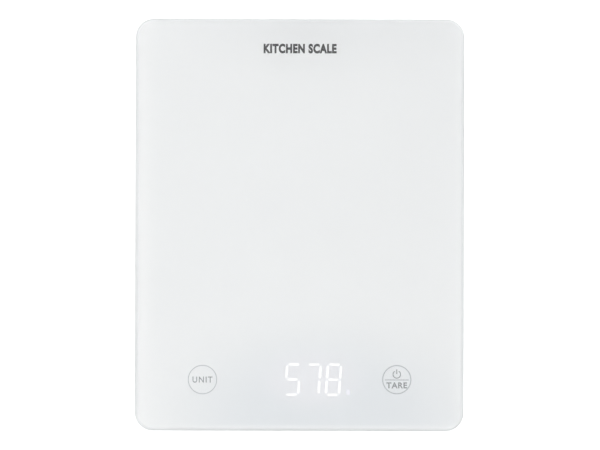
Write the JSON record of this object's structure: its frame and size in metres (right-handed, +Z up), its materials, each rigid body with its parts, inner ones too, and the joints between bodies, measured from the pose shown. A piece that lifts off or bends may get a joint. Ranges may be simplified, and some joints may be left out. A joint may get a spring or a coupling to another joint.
{
  "type": "kitchen scale",
  "caption": "Slim kitchen scale: a flat glass weighing platform on a shallow white housing with sprung feet, a display and touch keys under the glass, and a battery door below.",
  "frame": {"origin": "on the table, under the middle of the weighing platform", "axes": "+X to the user's right, +Y away from the user, +Z up; the display and the touch keys are at the -Y end"},
  "size_m": [0.18, 0.2256, 0.02],
  "materials": {
    "clear_glass": "clear tempered glass, ground and polished edge",
    "white_tape": "white double-sided foam tape",
    "white_plastic": "white ABS, fine satin texture",
    "grey_rubber": "soft grey rubber, matt",
    "steel": "plain steel, zinc plated",
    "nickel": "bright nickel-plated spring steel",
    "circuit_board": "green solder mask",
    "black_plastic": "moulded black epoxy",
    "display_housing": "white moulded display housing",
    "display_film": "translucent white film",
    "battery_jacket": "printed slate-blue jacket over a metal can",
    "pale_insulation": "pale ribbon wire",
    "red_insulation": "red wire insulation",
    "black_insulation": "black wire insulation"
  },
  "bodies": {
    "housing": {"glass_platform": "clear_glass", "platform_tape": "white_tape", "upper_frame": "white_plastic", "bottom_shell": "white_plastic", "main_board": "circuit_board", "controller_chip": "black_plastic", "display_module": "display_housing", "display_film": "display_film", "touch_spring_unit": "nickel", "touch_spring_tare": "nickel", "battery_contact_negative": "nickel", "battery_contact_positive": "nickel", "battery_contact_link_right": "nickel", "battery_contact_link_left": "nickel", "battery_lead_negative": "black_insulation", "battery_lead_positive": "red_insulation", "shell_screw_1": "steel", "shell_screw_2": "steel", "shell_screw_3": "steel", "shell_screw_4": "steel", "shell_screw_5": "steel", "shell_screw_6": "steel", "board_screw_1": "steel", "board_screw_2": "steel", "board_screw_3": "steel", "board_screw_4": "steel", "battery_1": "battery_jacket", "battery_2": "battery_jacket", "battery_3": "battery_jacket", "load_cell_front_left": "steel", "cell_holder_front_left": "white_plastic", "holder_screw_front_left_a": "steel", "holder_screw_front_left_b": "steel", "cell_lead_front_left": "pale_insulation", "load_cell_front_right": "steel", "cell_holder_front_right": "white_plastic", "holder_screw_front_right_a": "steel", "holder_screw_front_right_b": "steel", "cell_lead_front_right": "pale_insulation", "load_cell_rear_left": "steel", "cell_holder_rear_left": "white_plastic", "holder_screw_rear_left_a": "steel", "holder_screw_rear_left_b": "steel", "cell_lead_rear_left": "pale_insulation", "load_cell_rear_right": "steel", "cell_holder_rear_right": "white_plastic", "holder_screw_rear_right_a": "steel", "holder_screw_rear_right_b": "steel", "cell_lead_rear_right": "pale_insulation"},
    "foot_front_left": {"foot_front_left": "white_plastic", "foot_pad_front_left": "grey_rubber"},
    "foot_front_right": {"foot_front_right": "white_plastic", "foot_pad_front_right": "grey_rubber"},
    "foot_rear_left": {"foot_rear_left": "white_plastic", "foot_pad_rear_left": "grey_rubber"},
    "foot_rear_right": {"foot_rear_right": "white_plastic", "foot_pad_rear_right": "grey_rubber"},
    "battery_door": {"battery_door": "white_plastic"}
  },
  "joints": [
    {"name": "foot_front_left_press", "type": "slide", "parent": "housing", "child": "foot_front_left", "axis": [0, 0, 1], "range_m": [0, 0.0004], "stiffness_N_per_m": 31250, "deforming": ["load_cell_front_left"]},
    {"name": "foot_front_right_press", "type": "slide", "parent": "housing", "child": "foot_front_right", "axis": [0, 0, 1], "range_m": [0, 0.0004], "stiffness_N_per_m": 31250, "deforming": ["load_cell_front_right"]},
    {"name": "foot_rear_left_press", "type": "slide", "parent": "housing", "child": "foot_rear_left", "axis": [0, 0, 1], "range_m": [0, 0.0004], "stiffness_N_per_m": 31250, "deforming": ["load_cell_rear_left"]},
    {"name": "foot_rear_right_press", "type": "slide", "parent": "housing", "child": "foot_rear_right", "axis": [0, 0, 1], "range_m": [0, 0.0004], "stiffness_N_per_m": 31250, "deforming": ["load_cell_rear_right"]},
    {"name": "battery_door_hinge", "type": "hinge", "parent": "housing", "child": "battery_door", "pos_m": [0, 0.0315, 0.002], "axis": [1, 0, 0], "range_deg": [0, 75]}
  ]
}
